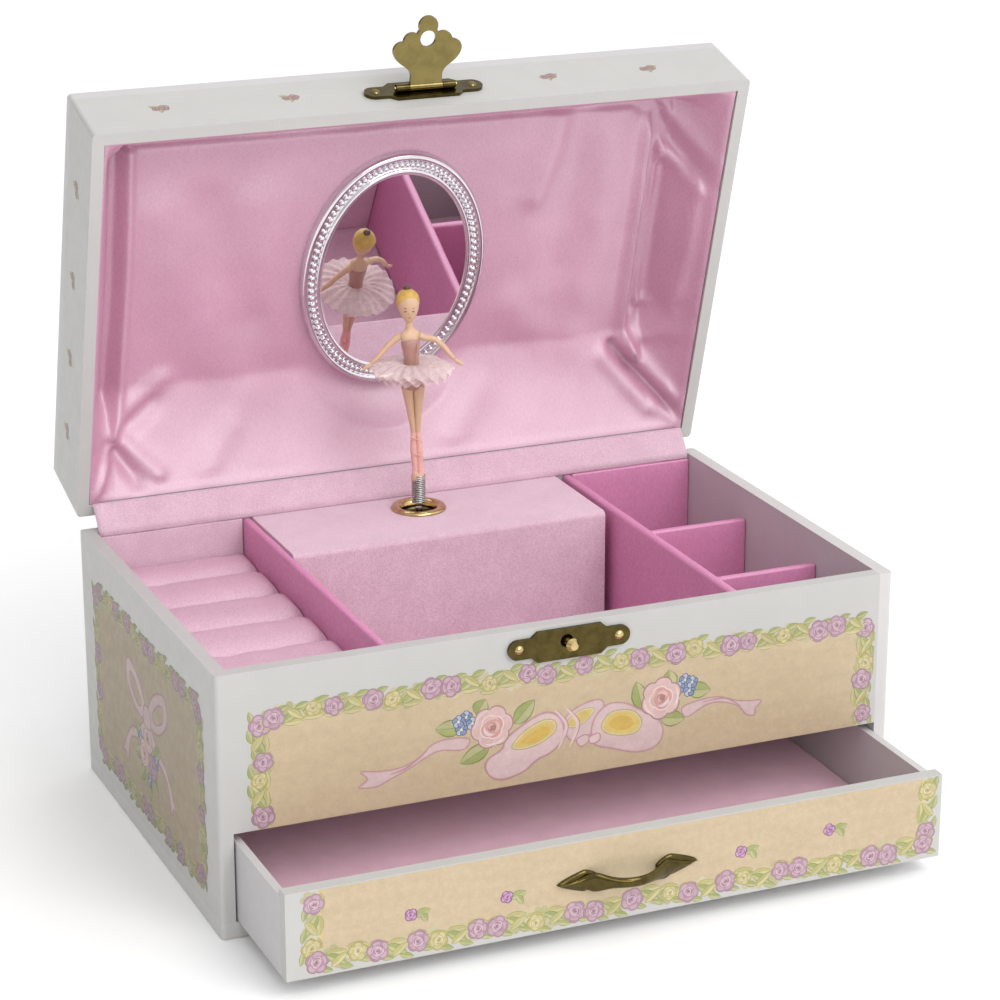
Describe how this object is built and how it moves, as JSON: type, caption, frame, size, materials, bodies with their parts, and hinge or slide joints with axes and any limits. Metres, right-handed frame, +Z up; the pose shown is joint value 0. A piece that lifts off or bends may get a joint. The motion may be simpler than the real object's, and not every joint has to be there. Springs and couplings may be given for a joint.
{
  "type": "musical jewellery box",
  "caption": "Musical jewellery box with a hinged mirror lid, a sprung dancer that folds down as the lid shuts, ring rolls, divided bays and a drawer under the tray.",
  "frame": {"origin": "centre of the box's flat underside, with the base square to the axes", "axes": "+X to the right seen from the front, -Y out of the front with the drawer, +Z up"},
  "size_m": [0.2, 0.1968, 0.2232],
  "materials": {
    "print_paper": "card and board wrapped in white paper printed with small lilac rose sprigs, satin",
    "plain_paper": "board wrapped in plain lilac-white paper",
    "base_paper": "plain white paper on board",
    "satin": "gathered pink satin over card",
    "plush": "short-pile pink plush",
    "flock": "flocked pink card",
    "tulle": "grey-pink pleated tulle",
    "brass": "stamped, gilt",
    "cast_frame": "die-cast zinc",
    "gear_brass": "machined",
    "steel": "drawn wire and turned steel",
    "chrome_rim": "plated and beaded",
    "mirror_silver": "silvered glass",
    "backing_card": "grey card",
    "figure": "painted moulded plastic"
  },
  "bodies": {
    "base": {"bottom_board": "base_paper", "left_wall": "print_paper", "right_wall": "print_paper", "back_wall": "plain_paper", "front_fascia": "print_paper", "tray_floor": "plain_paper", "left_partition": "satin", "right_partition": "satin", "right_bay_back_panel": "satin", "right_bay_dividers": "satin", "tray_linings": "plush", "ring_rolls": "plush", "music_cover": "plush", "spindle_eyelet": "brass", "movement_frame": "cast_frame", "note_comb": "steel", "movement_screws": "steel", "catch_plate": "brass", "catch_nails_and_stud": "brass", "hinge_base_leaves": "brass", "hinge_pins": "brass", "hinge_base_nails": "brass", "hinge_strip": "satin"},
    "lid": {"lid_top_board": "plain_paper", "lid_left_wall": "print_paper", "lid_right_wall": "print_paper", "lid_front_wall": "print_paper", "lid_back_wall": "plain_paper", "lid_lining": "satin", "mirror_backing": "backing_card", "mirror_glass": "mirror_silver", "mirror_frame": "chrome_rim", "hasp_plate": "brass", "hasp_pin": "brass", "hasp_nails": "brass", "hinge_lid_leaves": "brass", "hinge_lid_nails": "brass"},
    "hasp": {"hasp_tongue": "brass"},
    "drawer": {"drawer_front": "print_paper", "drawer_left_side": "plain_paper", "drawer_right_side": "plain_paper", "drawer_back": "plain_paper", "drawer_bottom": "plain_paper", "drawer_lining": "flock", "drawer_handle": "brass", "drawer_handle_nails": "brass"},
    "winding": {"winding_key": "steel", "winding_arbor": "steel"},
    "barrel": {"spring_barrel": "gear_brass", "mainspring": "steel"},
    "drum": {"music_drum": "gear_brass", "drum_arbor": "steel", "crown_wheel": "gear_brass"},
    "idler": {"idler_wheel": "gear_brass"},
    "fan": {"governor_fan": "steel"},
    "spindle": {"spindle": "steel"},
    "neck": {"coil_spring": "steel"},
    "dancer": {"ballerina": "figure", "tutu": "tulle"}
  },
  "joints": [
    {"name": "lid_hinge", "type": "hinge", "parent": "base", "child": "lid", "pos_m": [0, 0.0657, 0.075], "axis": [1, 0, 0], "range_deg": [0, 74], "deforming": ["hinge_strip"]},
    {"name": "hasp_swing", "type": "hinge", "parent": "lid", "child": "hasp", "pos_m": [0, 0.03796, 0.20259], "axis": [1, 0, 0], "range_deg": [-60, 98]},
    {"name": "drawer_slide", "type": "slide", "parent": "base", "child": "drawer", "axis": [0, -1, 0], "range_m": [-0.0385, 0.055]},
    {"name": "dancer_fold", "type": "hinge", "parent": "base", "child": "neck", "pos_m": [0, 0.046, 0.0765], "axis": [1, 0, 0], "range_deg": [0, 88]},
    {"name": "dancer_spin", "type": "hinge", "parent": "neck", "child": "dancer", "pos_m": [0, 0.046, 0.09], "axis": [0, 0, 1], "continuous": true},
    {"name": "key_turn", "type": "hinge", "parent": "base", "child": "winding", "pos_m": [-0.021, 0.06, 0.052], "axis": [0, 1, 0], "continuous": true},
    {"name": "barrel_turn", "type": "hinge", "parent": "base", "child": "barrel", "pos_m": [-0.021, 0.03, 0.052], "axis": [0, 1, 0], "continuous": true},
    {"name": "drum_turn", "type": "hinge", "parent": "base", "child": "drum", "pos_m": [0, 0.03, 0.052], "axis": [0, 1, 0], "continuous": true},
    {"name": "idler_turn", "type": "hinge", "parent": "base", "child": "idler", "pos_m": [0.0144, 0.045, 0.052], "axis": [0, 1, 0], "continuous": true},
    {"name": "fan_turn", "type": "hinge", "parent": "base", "child": "fan", "pos_m": [0.0224, 0.045, 0.052], "axis": [0, 1, 0], "continuous": true},
    {"name": "spindle_turn", "type": "hinge", "parent": "base", "child": "spindle", "pos_m": [0, 0.046, 0.068], "axis": [0, 0, 1], "continuous": true}
  ],
  "couplings": [
    {"joint": "dancer_fold", "follows": "lid_hinge", "ratio": 1.1892},
    {"joint": "drum_turn", "follows": "barrel_turn", "ratio": -2},
    {"joint": "idler_turn", "follows": "barrel_turn", "ratio": 6},
    {"joint": "fan_turn", "follows": "barrel_turn", "ratio": -18},
    {"joint": "spindle_turn", "follows": "barrel_turn", "ratio": 6},
    {"joint": "dancer_spin", "follows": "barrel_turn", "ratio": 6}
  ]
}
